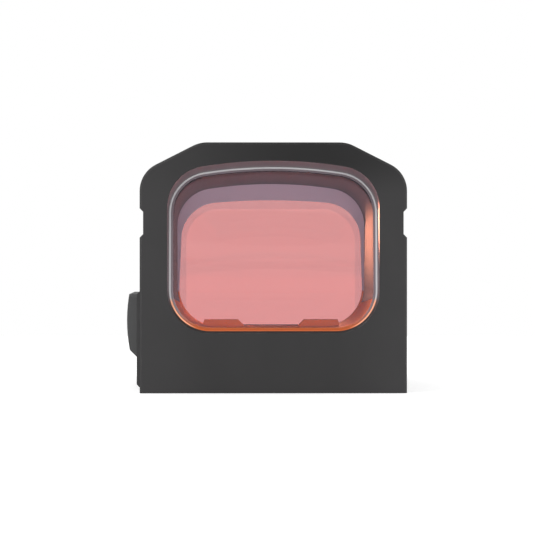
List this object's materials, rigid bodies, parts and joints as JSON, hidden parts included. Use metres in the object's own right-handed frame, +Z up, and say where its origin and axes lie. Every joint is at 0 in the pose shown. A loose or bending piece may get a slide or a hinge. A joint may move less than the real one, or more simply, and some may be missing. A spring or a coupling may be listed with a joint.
{
  "type": "red dot finder",
  "caption": "Compact enclosed red dot sight with clear rear window, coated objective, side keypad, elevation and windage screws and slide-out battery tray.",
  "frame": {"origin": "middle of the 29 mm wide, 42 mm long footprint, on the flat underside that is the mounting face", "axes": "+Z up from the mounting face; +Y from the eye end to the objective end; +X to the right as seen from the eye end, towards the adjusting screws and battery tray"},
  "size_m": [0.0307, 0.042, 0.0272],
  "materials": {
    "housing_black": "matte black hard anodised, fine bead blast",
    "tray_black": "matte black hard anodised",
    "bronze_anodised": "satin orange-bronze anodised",
    "bare_aluminium": "machined",
    "clear_glass": "polished, anti-reflection coated",
    "coated_glass": "polished, red-reflecting coat",
    "seal_grey": "pale bonding sealant",
    "seal_black": "matte",
    "screw_black": "black oxide",
    "adjuster_black": "black, satin",
    "bright_steel": "ground",
    "spring_steel": "drawn wire and strip",
    "cell_steel": "nickel plated",
    "brass": "machined",
    "contact_brass": "gold plated",
    "black_plastic": "moulded",
    "board_green": "solder mask",
    "chip_black": "moulded",
    "led_red": "clear red",
    "button_rubber": "matte moulded"
  },
  "bodies": {
    "root": {"housing": "housing_black", "rear_window": "clear_glass", "rear_window_seal": "seal_grey", "objective_inner_element": "coated_glass", "objective_outer_element": "clear_glass", "objective_seal": "seal_black", "floor_cover": "bronze_anodised", "bottom_cover": "housing_black", "bottom_cover_seal": "seal_black", "bottom_cover_screws": "screw_black", "guide_pins": "bright_steel", "elevation_springs": "spring_steel", "keypad_frame": "housing_black", "keypad_frame_screws": "screw_black", "keypad_gasket": "seal_black", "tactile_switches": "black_plastic", "switch_board": "board_green", "circuit_board": "board_green", "board_chips": "chip_black", "board_screws": "bright_steel", "top_contact": "contact_brass", "side_contact": "contact_brass"},
    "elevation_screw": {"elevation_screw": "adjuster_black", "elevation_screw_clip": "spring_steel", "elevation_screw_ring": "seal_black"},
    "elevation_wedge": {"elevation_wedge": "brass"},
    "elevation_block": {"elevation_block": "bare_aluminium", "windage_leaf_spring": "spring_steel"},
    "windage_screw": {"windage_screw": "adjuster_black", "windage_screw_clip": "spring_steel", "windage_screw_ring": "seal_black"},
    "windage_nut": {"windage_nut": "brass"},
    "emitter_carrier": {"emitter_carrier": "black_plastic", "led_board": "board_green", "led_emitter": "led_red", "led_mask": "bright_steel"},
    "button_up": {"button_up": "button_rubber", "button_up_plunger": "black_plastic"},
    "button_down": {"button_down": "button_rubber", "button_down_plunger": "black_plastic"},
    "battery_tray": {"battery_tray": "tray_black", "coin_cell": "cell_steel", "tray_seal": "seal_black", "tray_screws": "screw_black"}
  },
  "joints": [
    {"name": "elevation_screw_turn", "type": "hinge", "parent": "root", "child": "elevation_screw", "pos_m": [0.0142, -0.012, 0.0031], "axis": [1, 0, 0], "range_deg": [-540.5, 540.5]},
    {"name": "elevation_wedge_slide", "type": "slide", "parent": "root", "child": "elevation_wedge", "axis": [1, 0, 0], "range_m": [-0.00053, 0.00053]},
    {"name": "elevation_block_slide", "type": "slide", "parent": "root", "child": "elevation_block", "axis": [0, 0, 1], "range_m": [-0.00021, 0.00021], "deforming": ["elevation_springs"]},
    {"name": "windage_screw_turn", "type": "hinge", "parent": "root", "child": "windage_screw", "pos_m": [0.0142, -0.0169, 0.0031], "axis": [1, 0, 0], "range_deg": [-360.5, 360.5]},
    {"name": "windage_nut_slide", "type": "slide", "parent": "root", "child": "windage_nut", "axis": [1, 0, 0], "range_m": [-0.00035, 0.00035]},
    {"name": "emitter_carrier_slide", "type": "slide", "parent": "elevation_block", "child": "emitter_carrier", "axis": [1, 0, 0], "range_m": [-0.000351, 0.000351]},
    {"name": "button_up_press", "type": "slide", "parent": "root", "child": "button_up", "axis": [1, 0, 0], "range_m": [0, 0.00025], "stiffness_N_per_m": 400, "springref_m": -0.0003},
    {"name": "button_down_press", "type": "slide", "parent": "root", "child": "button_down", "axis": [1, 0, 0], "range_m": [0, 0.00025], "stiffness_N_per_m": 400, "springref_m": -0.0003},
    {"name": "battery_tray_slide", "type": "slide", "parent": "root", "child": "battery_tray", "axis": [1, 0, 0], "range_m": [0, 0.022]}
  ],
  "couplings": [
    {"joint": "elevation_screw_turn", "follows": "elevation_block_slide", "rad_per_m": 44880},
    {"joint": "elevation_wedge_slide", "follows": "elevation_block_slide", "ratio": -2.5},
    {"joint": "windage_screw_turn", "follows": "windage_nut_slide", "rad_per_m": -17952},
    {"joint": "emitter_carrier_slide", "follows": "windage_nut_slide", "ratio": 1}
  ]
}
